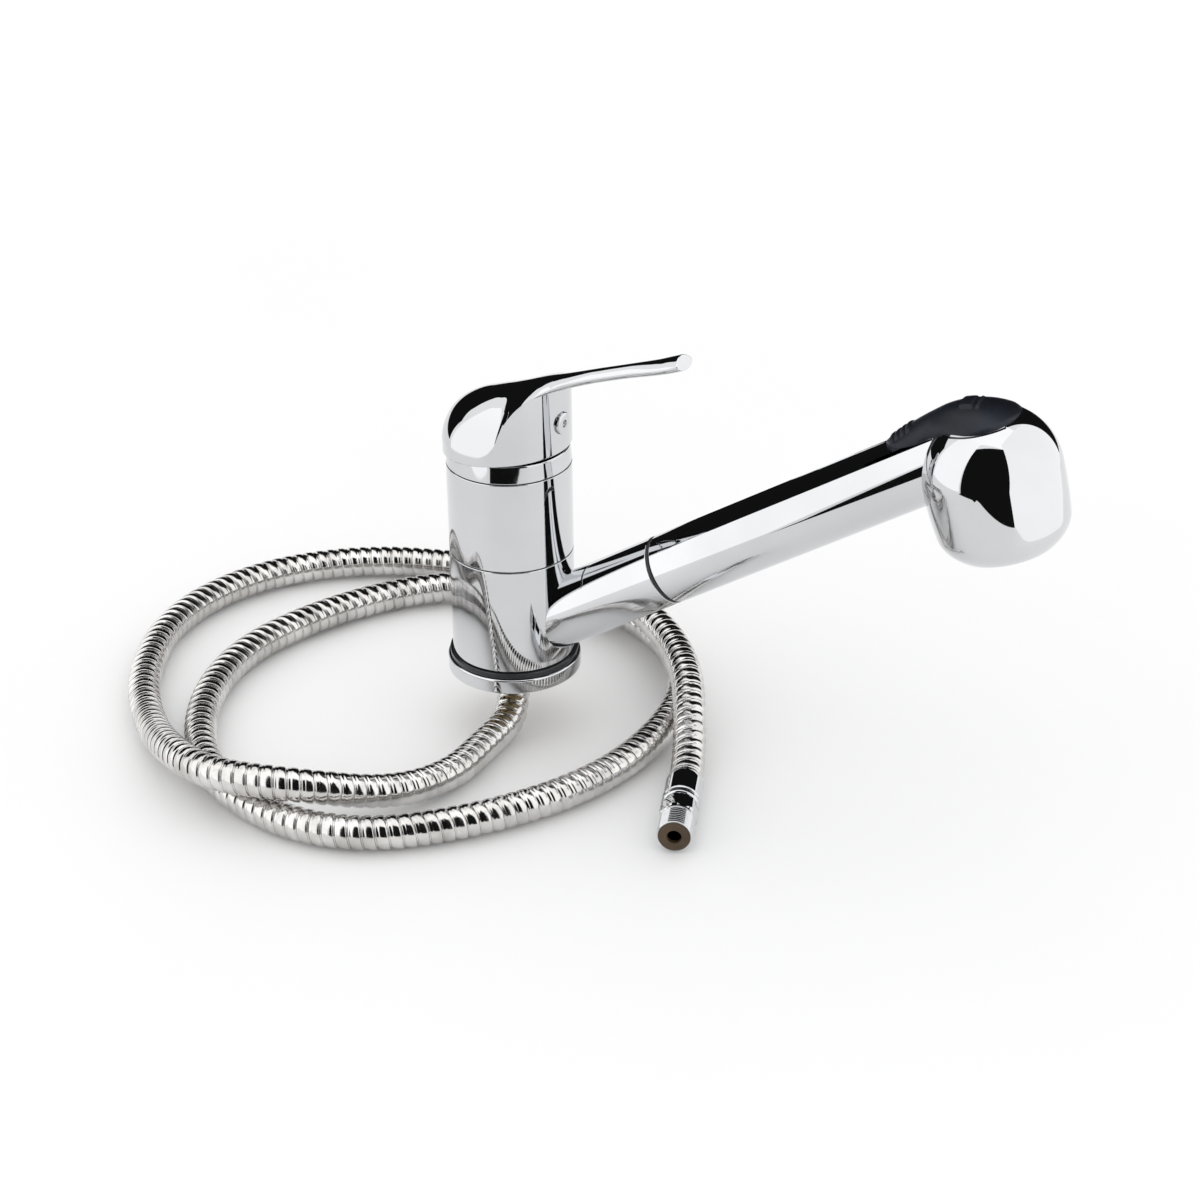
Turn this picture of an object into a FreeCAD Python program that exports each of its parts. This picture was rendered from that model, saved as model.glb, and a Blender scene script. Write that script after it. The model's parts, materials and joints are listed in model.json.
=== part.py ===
import FreeCAD, Part
import math
import os
import re
import Sketcher

# Single-lever mixer tap with a pull-out spray handset on a metal hose.
# Frame: origin at the centre of the base's underside, +Z up, +X along the spout seen from above.
# Millimetres and degrees.

Vector = FreeCAD.Vector
Rotation = FreeCAD.Rotation
Placement = FreeCAD.Placement

DIMENSIONS = {
    # column
    "body_radius": 25.0,
    "bore_radius": 22.6,
    "core_radius": 21.5,
    "flange_radius": 27.1,
    "flange_height": 6.1,
    "gasket_inner": 23.2,
    "gasket_outer": 25.6,
    "gasket_depth": 1.6,
    "slide_ring_radius": 26.2,
    "sleeve_base": 8.8,
    "seam_height": 53.5,
    "seam_gap": 0.4,
    "sleeve_top": 91.7,
    "foot_height": 10.0,
    "cup_floor": 56.0,
    "chamber_floor": 60.0,
    "chamber_radius": 17.6,
    "cup_top": 83.0,
    "column_face": 5.0,
    "bush_height": 3.0,
    # water ways and fixings in the foot
    "hose_hole_radius": 8.8,
    "port_circle": 16.3,
    "port_radius": 4.45,
    "port_depth": 9.0,
    "port_step": 1.0,
    "way_circle": 12.6,
    "way_radius": 2.8,
    "stud_spacing": 32.0,
    "stud_hole_radius": 3.4,
    "stud_hole_depth": 9.0,
    # spout and handset
    "spout_height": 14.3,
    "spout_angle": 31.7,
    "tube_radius": 14.0,
    "spout_bore": 11.6,
    "socket_radius": 12.6,
    "socket_start": 55.0,
    "spout_end": 79.2,
    "joint_gap": 1.7,
    "handset_bore": 11.8,
    "shank_radius": 9.6,
    "shank_start": 62.0,
    "tube_overlap": 221.0,
    # spray head
    "head_x": 194.9,
    "head_z": 121.6,
    "head_tilt": 15.7,
    "head_radius": 26.3,
    "head_crown": 25.2,
    "head_drop": 30.3,
    "head_wall": 2.4,
    "face_radius": 17.8,
    # button
    "button_pivot_along": 214.0,
    "button_pivot_across": 8.6,
    "button_gap": 0.5,
    "button_depth": 1.3,
    # cartridge and lever
    "cartridge_radius": 17.4,
    "pivot_height": 86.0,
    "disc_arm": 11.0,
    "disc_offset": 2.4,
    "stem_half": 3.7,
    "stem_top": 117.0,
    "collar_base": 92.1,
    "collar_radius": 24.4,
    "collar_top": 99.4,
    "dome_height": 103.0,
    "dome_radius": 26.1,
    "dome_crown": 19.0,
    "skirt_bore": 24.95,
    "skirt_tilt": 5.0,
    "skirt_height": 98.8,
    "plug_radius": 4.2,
    "plug_height": 112.9,
    "lever_rest": -8.0,
    # hose
    "hose_radius": 6.7,
    "hose_bore": 4.5,
    "hose_join_height": 3.0,
    "ferrule_radius": 7.6,
    "hexagon_radius": 7.9,
    "thread_radius": 6.9,
}

doc = FreeCAD.newDocument("pull_out_spray_tap")
sheet = doc.addObject("Spreadsheet::Sheet", "Dims")
for row, (alias, number) in enumerate(DIMENSIONS.items(), start=1):
    sheet.set("A%d" % row, alias)
    sheet.set("B%d" % row, str(number))
    sheet.setAlias("B%d" % row, alias)
doc.recompute()


def dim(alias):
    return float(sheet.get(alias))


def formula(text):
    """An expression in the sheet's names, as the document's expression engine reads it."""
    return re.sub(r"[a-z][a-z_]+", lambda word: "Dims." + word.group(), str(text))


WORLD = Placement()
SPOUT = Placement(Vector(0, 0, dim("spout_height")), Rotation(Vector(0, 1, 0), 90 - dim("spout_angle")))
LEVER = Placement(Vector(0, 0, 0), Rotation(Vector(0, 0, 1), dim("lever_rest")))
HEAD = Placement(Vector(dim("head_x"), 0, dim("head_z")), Rotation(Vector(0, 1, 0), -dim("head_tilt")))


def moved(x, y, z):
    return Placement(Vector(x, y, z), Rotation())


# ---------------------------------------------------------------- builders

def turned(name, profile, frame=WORLD):
    """A PartDesign body: a closed outline of (radius, height) turned about the frame's Z axis."""
    body = doc.addObject("PartDesign::Body", name)
    sketch = body.newObject("Sketcher::SketchObject", name + "_outline")
    plane = [f for f in body.Origin.OriginFeatures if f.Role == "XZ_Plane"][0]
    sketch.AttachmentSupport = [(plane, "")]
    sketch.MapMode = "FlatFace"
    numbers = [(sheet_value(r), sheet_value(z)) for r, z in profile]
    count = len(profile)
    for i in range(count):
        start, end = numbers[i], numbers[(i + 1) % count]
        sketch.addGeometry(Part.LineSegment(Vector(*start, 0), Vector(*end, 0)), False)
    for i in range(count):
        sketch.addConstraint(Sketcher.Constraint("Coincident", i, 2, (i + 1) % count, 1))
    for i, (radius, height) in enumerate(profile):
        pin_point(sketch, i, "DistanceX", radius, numbers[i][0])
        pin_point(sketch, i, "DistanceY", height, numbers[i][1])
    turn = body.newObject("PartDesign::Revolution", name + "_turn")
    turn.Profile = sketch
    turn.ReferenceAxis = (sketch, ["V_Axis"])
    turn.Angle = 360
    body.Tip = turn
    body.Placement = frame
    return body


def pin_point(sketch, index, kind, text, number):
    """Holds one outline point at a sheet formula's distance from the sketch's axes."""
    if abs(number) < 1e-9:
        sketch.addConstraint(Sketcher.Constraint("PointOnObject", index, 1, -2 if kind == "DistanceX" else -1))
        return
    held = sketch.addConstraint(Sketcher.Constraint(kind, -1, 1, index, 1, number))
    sketch.setExpression("Constraints[%d]" % held, formula(text))


def sheet_value(text):
    """The number that a formula in the sheet's names gives now."""
    probe.setExpression("Length", formula(text) + " + 1000")
    probe.recompute()
    return probe.Length.Value - 1000


probe = doc.addObject("Part::Box", "Probe")


def cylinder(name, radius, height, frame=WORLD, at=(0, 0, 0), turn=None):
    shape = doc.addObject("Part::Cylinder", name)
    shape.setExpression("Radius", formula(radius))
    shape.setExpression("Height", formula(height))
    shape.Placement = frame * Placement(Vector(*at), turn or Rotation())
    return shape


def box(name, low, high, frame=WORLD):
    """A box from its lowest to its highest corner, each a triple of formulas."""
    start = [sheet_value(v) for v in low]
    shape = doc.addObject("Part::Box", name)
    for side, a, b in zip(("Length", "Width", "Height"), low, high):
        shape.setExpression(side, "(%s) - (%s)" % (formula(b), formula(a)))
    shape.Placement = frame * moved(*start)
    return shape


def ellipsoid(name, radius, crown, frame=WORLD):
    """A whole ellipsoid of revolution: radius across, crown along the frame's Z."""
    shape = doc.addObject("Part::Ellipsoid", name)
    shape.setExpression("Radius1", formula(crown))
    shape.setExpression("Radius2", formula(radius))
    shape.setExpression("Radius3", formula(radius))
    shape.Angle1 = -90
    shape.Angle2 = 90
    shape.Placement = frame
    return shape


def fuse(name, *pieces):
    joined = doc.addObject("Part::MultiFuse", name)
    joined.Shapes = list(pieces)
    return joined


def cut(name, base, *tools):
    """The base less every tool."""
    tool = tools[0] if len(tools) == 1 else fuse(name + "_tools", *tools)
    left = doc.addObject("Part::Cut", name)
    left.Base = base
    left.Tool = tool
    return left


def common(name, base, tool):
    shared = doc.addObject("Part::Common", name)
    shared.Base = base
    shared.Tool = tool
    return shared


def group(name, *pieces):
    """Several separate solids under one name."""
    together = doc.addObject("Part::Compound", name)
    together.Links = list(pieces)
    return together


def fixed_shape(name, shape, frame=WORLD):
    piece = doc.addObject("Part::Feature", name)
    piece.Shape = shape
    piece.Placement = frame
    return piece


nodes = {}


def node(label, piece, frame=WORLD):
    """Names a finished piece, and places it by a frame that its builder left out."""
    piece.Placement = frame * piece.Placement
    piece.Label = label
    nodes[label] = piece
    return piece


def ring(name, inner, outer, low, high, frame=WORLD):
    return turned(name, [(inner, low), (outer, low), (outer, high), (inner, high)], frame)


ALONG_X = Rotation(Vector(0, 1, 0), 90)
ALONG_Y = Rotation(Vector(1, 0, 0), -90)


def on_circle(radius, degrees):
    angle = math.radians(degrees)
    return radius * math.cos(angle), radius * math.sin(angle)


# ---------------------------------------------------------------- base and fixed column

PORT_ANGLES = {"hot": 135.0, "outlet": 180.0, "cold": 225.0}
PORT_STEPS = {"hot": 0, "outlet": 1, "cold": 2}  # each port is one step deeper than the one before


def base_flange():
    return turned("FlangeRing", [
        ("core_radius", 0),
        ("gasket_inner", 0),
        ("gasket_inner", "gasket_depth"),
        ("gasket_outer", "gasket_depth"),
        ("gasket_outer", 0),
        ("flange_radius - 0.5", 0),
        ("flange_radius", 0.5),
        ("flange_radius", "flange_height - 0.8"),
        ("flange_radius - 0.8", "flange_height"),
        ("core_radius", "flange_height"),
    ])


def slide_ring():
    top = "sleeve_base - 0.3"
    return turned("SlideRing", [
        ("core_radius + 0.05", "flange_height"),
        ("slide_ring_radius - 0.6", "flange_height"),
        ("slide_ring_radius", "flange_height + 0.6"),
        ("slide_ring_radius", top + " - 0.6"),
        ("slide_ring_radius - 0.6", top),
        ("core_radius + 0.05", top),
    ])


def core_body():
    """Brass core: foot with the ports, half column with the water ways, cup for the cartridge."""
    foot = cylinder("CoreFoot", "core_radius", "foot_height")
    column = cut(
        "CoreColumn",
        cylinder("CoreColumnBlank", "core_radius", "cup_floor", at=(0, 0, 0)),
        box("CoreColumnFront", ("-column_face", -30, -1), (30, 30, 80)),
    )
    cup = cylinder("CoreCup", "bore_radius - 0.05", "cup_top - cup_floor", at=(0, 0, dim("cup_floor")))
    tools = [
        cylinder("CoreChamber", "chamber_radius", 40, at=(0, 0, dim("chamber_floor"))),
        cylinder("HoseHole", "hose_hole_radius", "cup_floor + 1", at=(0, 0, -1)),
    ]
    for name, angle in PORT_ANGLES.items():
        x, y = on_circle(dim("port_circle"), angle)
        depth = "port_depth + %d*port_step + 1" % PORT_STEPS[name]
        tools.append(cylinder("Port_" + name, "port_radius", depth, at=(x, y, -1)))
        x, y = on_circle(dim("way_circle"), angle)
        tools.append(cylinder("Way_" + name, "way_radius", 60, at=(x, y, dim("port_depth") - 2)))
    for side in (-1, 1):
        at = (0, side * dim("stud_spacing") / 2, -1)
        tools.append(cylinder("StudHole%d" % side, "stud_hole_radius", "stud_hole_depth + 1", at=at))
    return cut("Core", fuse("CoreBlank", foot, column, cup), *tools)


def upper_sleeve():
    low = "seam_height + seam_gap"
    return turned("UpperSleeve", [
        ("bore_radius", low),
        ("body_radius - 0.4", low),
        ("body_radius", low + " + 0.4"),
        ("body_radius", "sleeve_top - 0.4"),
        ("body_radius - 0.4", "sleeve_top"),
        ("bore_radius", "sleeve_top"),
    ])


def trim_collar():
    return turned("TrimCollar", [
        ("bore_radius", "collar_base"),
        ("body_radius - 0.3", "collar_base"),
        ("body_radius", "collar_base + 0.3"),
        ("collar_radius", "collar_base + 1.2"),
        ("collar_radius", "collar_top - 0.9"),
        ("collar_radius - 0.9", "collar_top"),
        (16.2, "collar_top"),
        (16.2, "collar_top - 2"),
        ("bore_radius", "collar_top - 3.4"),
    ])


node("base_flange", base_flange())
node("base_gasket", ring("Gasket", "gasket_inner", "gasket_outer", 0, "gasket_depth"))
node("slide_ring", slide_ring())
node("core_body", core_body())
for label, start in (("lower_bush", "sleeve_base"), ("upper_bush", "seam_height - 4")):
    inner = "core_radius + 0.05"
    node(label, ring(label.title().replace("_", ""), inner, "bore_radius - 0.1", start, start + " + bush_height"))
node("upper_sleeve", upper_sleeve())
node("trim_collar", trim_collar())


# ---------------------------------------------------------------- cartridge

def cartridge_housing():
    shell = turned("HousingShell", [
        (0, "chamber_floor + 2.1"),
        ("cartridge_radius", "chamber_floor + 2.1"),
        ("cartridge_radius", "cup_top + 0.4"),
        (10.9, "cup_top + 0.4"),
        (10.9, "cup_top - 2"),
        (14, "cup_top - 2"),
        (14, "chamber_floor + 4"),
        (0, "chamber_floor + 4"),
    ])
    ways = []
    for name, angle in PORT_ANGLES.items():
        x, y = on_circle(dim("way_circle") - 2.5, angle)
        ways.append(cylinder("HousingWay_" + name, 2.2, 6, at=(x, y, dim("chamber_floor"))))
    return cut("Housing", shell, *ways)


def cartridge_seals():
    seals = []
    for name, angle in PORT_ANGLES.items():
        x, y = on_circle(dim("way_circle"), angle)
        at = moved(x, y, 0)
        seals.append(ring("Seal_" + name, "way_radius + 0.3", 4.4, "chamber_floor", "chamber_floor + 2.1", at))
    return group("Seals", *seals)


def fixed_disc():
    disc = cylinder("FixedDiscBlank", 13.8, 3.5, at=(0, 0, dim("chamber_floor") + 4))
    holes = []
    for name, angle in PORT_ANGLES.items():
        x, y = on_circle(dim("way_circle") - 4, angle)
        holes.append(cylinder("DiscWay_" + name, 2.2, 6, at=(x, y, dim("chamber_floor") + 3)))
    return cut("FixedDisc", disc, *holes)


def moving_disc():
    return cylinder("MovingDisc", 9.5, 3, at=(-dim("disc_offset"), 0, dim("chamber_floor") + 7.8))


def disc_driver():
    """The driver above the moving disc, with the pocket that the stem's ball end pushes."""
    low = dim("chamber_floor") + 10.8
    block = box("DriverBlock", ("-7.5 - disc_offset", -7.8, low), ("7.5 - disc_offset", 7.8, "pivot_height - 9"))
    pocket = box("DriverPocket", (-3.4, -3.4, "pivot_height - disc_arm - 3.5"), (3.4, 3.4, "pivot_height"))
    return cut("Driver", block, pocket)


def turn_carrier():
    """Rotor that carries the stem's pin; its two legs guide the disc driver's flats."""
    plate = cylinder("CarrierPlate", 13.5, "cup_top - 2.4 - 77.3", at=(0, 0, 77.3))
    neck = cylinder("CarrierNeck", 10.6, "pivot_height + 3 - 78", at=(0, 0, 78))
    legs = cut(
        "CarrierLegs",
        cylinder("CarrierLegBlank", 13.5, 6.8, at=(0, 0, 71.2)),
        box("CarrierLegGap", (-15, -8.1, 70), (15, 8.1, 79)),
    )
    slot = box("CarrierSlot", (-8.2, "-stem_half - 0.3", 70), (8.2, "stem_half + 0.3", 95))
    pin_hole = cylinder("CarrierPinHole", 1.5, 30, at=(0, -15, dim("pivot_height")), turn=ALONG_Y)
    return cut("Carrier", fuse("CarrierBlank", plate, neck, legs), slot, pin_hole)


def stem():
    half = dim("stem_half")
    pivot = dim("pivot_height")
    ball_height = pivot - dim("disc_arm")
    square = box("StemSquare", ("-stem_half", "-stem_half", "pivot_height - 4"), ("stem_half", "stem_half", "stem_top"))
    shank = cylinder("StemShank", 2.0, "disc_arm", at=(0, 0, ball_height))
    ball = doc.addObject("Part::Sphere", "StemBall")
    ball.Radius = 3.0
    ball.Placement = moved(0, 0, ball_height)
    pin_hole = cylinder("StemPinHole", 1.55, 2 * half + 4, at=(0, -half - 2, pivot), turn=ALONG_Y)
    return cut("Stem", fuse("StemBlank", square, shank, ball), pin_hole)


def cartridge_nut():
    """Hexagonal nut that clamps the cartridge in the core's cup."""
    hexagon = doc.addObject("Part::Prism", "NutHexagon")
    hexagon.Polygon = 6
    hexagon.setExpression("Circumradius", formula("core_radius - 0.1"))
    hexagon.Height = 6
    hexagon.Placement = moved(0, 0, dim("cup_top") + 0.5)
    return cut("Nut", hexagon, cylinder("NutHole", 12.4, 20, at=(0, 0, dim("cup_top") - 2)))


node("cartridge_housing", cartridge_housing())
node("cartridge_seals", cartridge_seals())
node("fixed_disc", fixed_disc())
node("moving_disc", moving_disc(), LEVER)
node("disc_driver", disc_driver(), LEVER)
node("turn_carrier", turn_carrier(), LEVER)
node("lever_pin", cylinder("LeverPin", 1.5, 20, at=(0, -10, dim("pivot_height")), turn=ALONG_Y), LEVER)
node("stem", stem(), LEVER)
node("cartridge_nut", cartridge_nut())


# ---------------------------------------------------------------- lever

# Blade stations: place along X, height of the middle, half width, half thickness.
BLADE = [
    (-9.0, 110.6, 19.0, 8.6),
    (3.0, 118.2, 14.5, 6.4),
    (14.6, 126.0, 9.4, 3.1),
    (29.8, 132.0, 6.6, 1.9),
    (42.4, 136.7, 5.5, 1.6),
    (56.1, 141.5, 5.6, 1.6),
    (69.0, 145.8, 6.6, 2.0),
    (74.5, 148.4, 6.6, 2.2),
    (78.8, 150.9, 6.3, 2.2),
]


def blade():
    """The lever's blade, lofted through ellipses that stand square to its middle line."""
    wires = []
    for i, (x, z, half_width, half_thickness) in enumerate(BLADE):
        before = BLADE[max(i - 1, 0)]
        after = BLADE[min(i + 1, len(BLADE) - 1)]
        slope = Vector(after[0] - before[0], 0, after[1] - before[1]).normalize()
        section = Part.Ellipse(Vector(0, 0, 0), half_width, half_thickness).toShape()
        upright = Vector(-slope.z, 0, slope.x)
        axes = Rotation(Vector(0, 1, 0), upright, slope, "XYZ")
        section.Placement = Placement(Vector(x, 0, z), axes)
        wires.append(Part.Wire([section]))
    return fixed_shape("Blade", Part.makeLoft(wires, True, False))


def lever():
    """Hub with its skirt round the collar, the boss on the stem, and the blade."""
    dome_frame = moved(0, 0, dim("dome_height"))
    dome = ellipsoid("Dome", "dome_radius", "dome_crown", dome_frame)
    front = common(
        "HubFront",
        cylinder("HubFrontBlank", "body_radius + 0.3", 30, at=(0, 0, 95)),
        fixed_shape("HubFrontSide", hub_side()),
    )
    outer = fuse("LeverOuter", dome, front, blade())
    skirt = cylinder("SkirtBore", "skirt_bore", "dome_height - 60", at=(0, 0, 60))
    hollow = ellipsoid("DomeHollow", "skirt_bore", "dome_crown - 2.5", dome_frame)
    boss = cylinder("Boss", 7.5, 30, at=(0, 0, 95))
    tilt = Rotation(Vector(0, 1, 0), -dim("skirt_tilt"))
    below = doc.addObject("Part::Box", "BelowSkirt")
    below.Length = below.Width = below.Height = 90
    below.Placement = Placement(Vector(0, 0, dim("skirt_height")), tilt) * moved(-45, -45, -90)
    shell = cut("LeverShell", outer, skirt, hollow, below)
    inside = common("BossInside", boss, ellipsoid("BossLimit", "dome_radius - 1", "dome_crown - 1", dome_frame))
    socket = box("StemSocket", ("-stem_half", "-stem_half", 80), ("stem_half", "stem_half", "stem_top"))
    way = cylinder("ScrewWay", 2.5, 12, at=(0, 0, dim("plug_height")), turn=ALONG_X)
    plug_hole = cylinder("PlugHole", "plug_radius", 20, at=(16, 0, dim("plug_height")), turn=ALONG_X)
    return cut("Lever", fuse("LeverBody", shell, inside), socket, way, plug_hole)


def hub_side():
    """Side outline of the hub's upright front, drawn in the XZ plane and thickened across Y."""
    outline = [(4, 95), (30, 95), (30, 128), (22, 126.5), (4, 119)]
    corners = [Vector(x, -30, z) for x, z in outline]
    face = Part.Face(Part.makePolygon(corners + corners[:1]))
    return face.extrude(Vector(0, 60, 0))


def grub_screw():
    blank = cylinder("GrubBlank", 2.5, 7.5, at=(dim("stem_half"), 0, dim("plug_height")), turn=ALONG_X)
    key = doc.addObject("Part::Prism", "GrubKey")
    key.Polygon = 6
    key.Circumradius = 1.45
    key.Height = 4
    key.Placement = Placement(Vector(dim("stem_half") + 5, 0, dim("plug_height")), ALONG_X)
    return cut("Grub", blank, key)


node("lever", lever(), LEVER)
node("grub_screw", grub_screw(), LEVER)
node("screw_plug", cylinder("Plug", "plug_radius", 2.4, at=(22.0, 0, dim("plug_height")), turn=ALONG_X), LEVER)


# ---------------------------------------------------------------- swivelling spout

def swivel_spout():
    height = "seam_height - sleeve_base"
    sleeve = cylinder("SleeveBlank", "body_radius", height, at=(0, 0, dim("sleeve_base")))
    spout = cylinder("SpoutBlank", "tube_radius", "spout_end", SPOUT)
    inside = cylinder("SleeveBore", "bore_radius", 100, at=(0, 0, -20))
    below = cylinder("SpoutBelow", "body_radius + 12", 50, at=(0, 0, dim("sleeve_base") - 50))
    bore = cylinder("SpoutBore", "spout_bore", 100, SPOUT, at=(0, 0, 15))
    socket = cylinder("SpoutSocket", "socket_radius", 60, SPOUT, at=(0, 0, dim("socket_start")))
    return cut("Spout", fuse("SpoutOuter", sleeve, spout), inside, below, bore, socket)


def o_ring():
    torus = doc.addObject("Part::Torus", "ORing")
    torus.setExpression("Radius1", formula("tube_radius - 0.75"))
    torus.Radius2 = 0.65
    torus.Placement = SPOUT * moved(0, 0, dim("spout_end") + 0.65)
    return torus


def hose_bend():
    """The hose inside the column, from the upright length in the foot to the spout's axis."""
    turn = math.radians(90 - dim("spout_angle"))
    reach = dim("spout_height") - dim("hose_join_height")
    radius = reach / math.tan(turn / 2)
    start = Vector(0, 0, dim("hose_join_height"))
    end = SPOUT.multVec(Vector(0, 0, reach))
    middle = Vector(radius * (1 - math.cos(turn / 2)), 0, start.z + radius * math.sin(turn / 2))
    return fixed_shape("HoseBend", tube_along(Part.Wire([Part.Arc(start, middle, end).toShape()]), Vector(0, 0, 1)))


def tube_along(path, direction):
    """A hose wall swept along a tangent path."""
    walls = []
    for radius in (dim("hose_radius"), dim("hose_bore")):
        rim = Part.Wire([Part.Circle(path.OrderedVertexes[0].Point, direction, radius).toShape()])
        sweep = Part.BRepOffsetAPI.MakePipeShell(path)
        sweep.add(rim)
        sweep.build()
        sweep.makeSolid()
        walls.append(sweep.shape())
    return walls[0].cut(walls[1])


node("swivel_spout", swivel_spout())
node("guide_bush", ring("GuideBush", "shank_radius + 0.08", "socket_radius - 0.05",
                        "socket_start", "spout_end - 0.6", SPOUT))
node("o_ring", o_ring())
node("hose_bend", hose_bend())


# ---------------------------------------------------------------- handset

HANDSET_START = "spout_end + joint_gap"
PIVOT = (-dim("button_pivot_across"), 0, dim("button_pivot_along"))

# Half of the button's outline: place along the handset, half width.
BUTTON_OUTLINE = [
    (190.3, 0.0),
    (192.4, 4.2),
    (197.0, 7.6),
    (204.0, 8.6),
    (211.0, 8.8),
    (217.6, 11.2),
    (221.2, 14.0),
    (226.5, 16.0),
    (232.0, 15.3),
    (237.6, 12.0),
    (241.0, 6.8),
    (242.6, 0.0),
]


def button_prism(margin):
    """A block with the button's outline, grown by a margin, standing square to the handset."""
    tail, *sides, tip = BUTTON_OUTLINE
    sides = [(along, half + margin) for along, half in sides]
    upper = [Vector(0, half, along) for along, half in sides]
    lower = [Vector(0, -half, along) for along, half in reversed(sides)]
    start = Vector(0, 0, tail[0] - margin)
    end = Vector(0, 0, tip[0] + margin)
    curve = Part.BSplineCurve()
    curve.interpolate(Points=[start] + upper + [end] + lower, PeriodicFlag=True)
    block = Part.Face(Part.Wire([curve.toShape()])).extrude(Vector(-26, 0, 0))
    block.translate(Vector(-2, 0, 0))
    return block


def handset_form(name, grow, start):
    """Tube and crown of the handset together, larger or smaller than the outside by grow."""
    tube = cylinder(name + "Tube", "tube_radius + (%s)" % grow, dim("tube_overlap") - start, SPOUT, at=(0, 0, start))
    crown = ellipsoid(name + "Crown", "head_radius + (%s)" % grow, "head_crown + (%s)" % grow, HEAD)
    return fuse(name, tube, crown)


def head_bell(name, inset):
    """The head turned about its axis: round crown, steep side and rounded rim; or its hollow."""
    radius = dim("head_radius") - inset
    crown = dim("head_crown") - inset
    drop = dim("head_drop") - inset
    quarter = Part.Ellipse(Vector(radius, 0, 0), Vector(0, 0, crown), Vector(0, 0, 0))
    shoulder = Vector(radius, 0, 0)
    waist = Vector(radius - 0.3, 0, 0.5 * (9.5 - drop))
    corner = Vector(radius - 1.2, 0, 9.5 - drop)
    bevel = Vector(radius - 3.3, 0, 4.5 - drop)
    foot = Vector(radius - 7.9, 0, -drop)
    top = Vector(0, 0, crown)
    edges = [
        Part.ArcOfEllipse(quarter, 0, math.pi / 2).toShape(),
        Part.Arc(shoulder, waist, corner).toShape(),
        Part.Arc(corner, bevel, foot).toShape(),
        Part.LineSegment(foot, Vector(0, 0, -drop)).toShape(),
        Part.LineSegment(Vector(0, 0, -drop), top).toShape(),
    ]
    face = Part.Face(Part.Wire(Part.__sortEdges__(edges)))
    return fixed_shape(name, face.revolve(Vector(0, 0, 0), Vector(0, 0, 1), 360), HEAD)


def handset_shell():
    tube = cylinder("HandsetTube", "tube_radius", "tube_overlap - (%s)" % HANDSET_START, SPOUT,
                    at=(0, 0, dim("spout_end") + dim("joint_gap")))
    outside = fuse("HandsetOutside", tube, head_bell("HeadOutside", 0))
    bore = cylinder("HandsetBore", "handset_bore", "tube_overlap - 4 - 84", SPOUT, at=(0, 0, 84))
    mouth = cylinder("HandsetMouth", "shank_radius + 0.1", 20, SPOUT, at=(0, 0, 75))
    hollow = head_bell("HeadHollow", dim("head_wall"))
    opening = fixed_shape("ButtonOpening", button_prism(dim("button_gap")), SPOUT)
    floor = cylinder("FaceSeat", "face_radius + 0.1", 10, HEAD, at=(0, 0, -dim("head_drop") - 5))
    return cut("Handset", outside, bore, mouth, hollow, opening, floor)


def hose_connector():
    """Shank that carries the hose's end and slides into the spout's guide bush."""
    return turned("Connector", [
        (5.0, "shank_start"),
        ("shank_radius - 0.8", "shank_start"),
        ("shank_radius", "shank_start + 0.8"),
        ("shank_radius", 84),
        ("handset_bore - 0.1", 84),
        ("handset_bore - 0.1", 88),
        (7.0, 88),
        (7.0, 96),
        (5.0, 96),
    ], SPOUT)


def diverter_body():
    """Block in the head that sends the water to the spray face or to the middle jet."""
    block = box("DiverterBlock", (-6, -9, 203), (9, 9, 230), SPOUT)
    neck = cylinder("DiverterNeck", 8.6, 32, HEAD, at=(0, 0, 8.8 - dim("head_drop")))
    ears = []
    for side in (-1, 1):
        y = sorted((side * 5.4, side * 7.2))
        ears.append(box("Ear%d" % side, (-10.2, y[0], 211), (-5, y[1], 217), SPOUT))
    blank = fuse("DiverterBlank", block, neck, *ears)
    inlet = cylinder("DiverterInlet", 4.8, 14, SPOUT, at=(0, 0, 200))
    spool_bore = cylinder("SpoolBore", 3.05, 12.5, SPOUT, at=(-6.5, 0, 224), turn=ALONG_X)
    outlet = cylinder("DiverterOutlet", 5.0, 30, HEAD, at=(0, 0, 7 - dim("head_drop")))
    pin_hole = cylinder("EarPinHole", 1.2, 30, SPOUT, at=(PIVOT[0], -15, PIVOT[2]), turn=ALONG_Y)
    return cut("Diverter", blank, inlet, spool_bore, outlet, pin_hole)


def spool():
    stem_part = cylinder("SpoolStem", 3.0, 11, SPOUT, at=(-5.9, 0, 224), turn=ALONG_X)
    tip = cylinder("SpoolTip", 1.2, 5, SPOUT, at=(-9.5, 0, 224), turn=ALONG_X)
    return fuse("Spool", stem_part, tip)


def rocker_frame():
    """Bar under the button with a lug that rocks on the pin."""
    bar = common(
        "RockerBar",
        box("RockerBarBlank", (-16, -5, 199), (-9.8, 5, 231), SPOUT),
        handset_form("RockerBarTop", "-button_depth", 150),
    )
    lug = cylinder("RockerLug", 2.2, 10, SPOUT, at=(PIVOT[0], -5, PIVOT[2]), turn=ALONG_Y)
    hole = cylinder("RockerHole", 1.25, 30, SPOUT, at=(PIVOT[0], -15, PIVOT[2]), turn=ALONG_Y)
    return cut("Rocker", fuse("RockerBlank", bar, lug), hole)


# Hump of the button: place along the handset, height of its top above the axis, radius across.
BUTTON_HUMP = [
    (184.0, 11.5, 10.0),
    (190.0, 14.3, 10.5),
    (196.0, 15.7, 10.5),
    (203.0, 17.0, 9.8),
    (211.0, 17.9, 10.0),
    (217.5, 18.2, 13.4),
    (222.0, 17.7, 17.0),
    (227.0, 16.4, 19.8),
    (232.0, 14.2, 21.0),
    (237.0, 10.6, 22.0),
    (242.0, 5.4, 22.0),
    (247.0, -3.0, 22.0),
]


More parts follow.
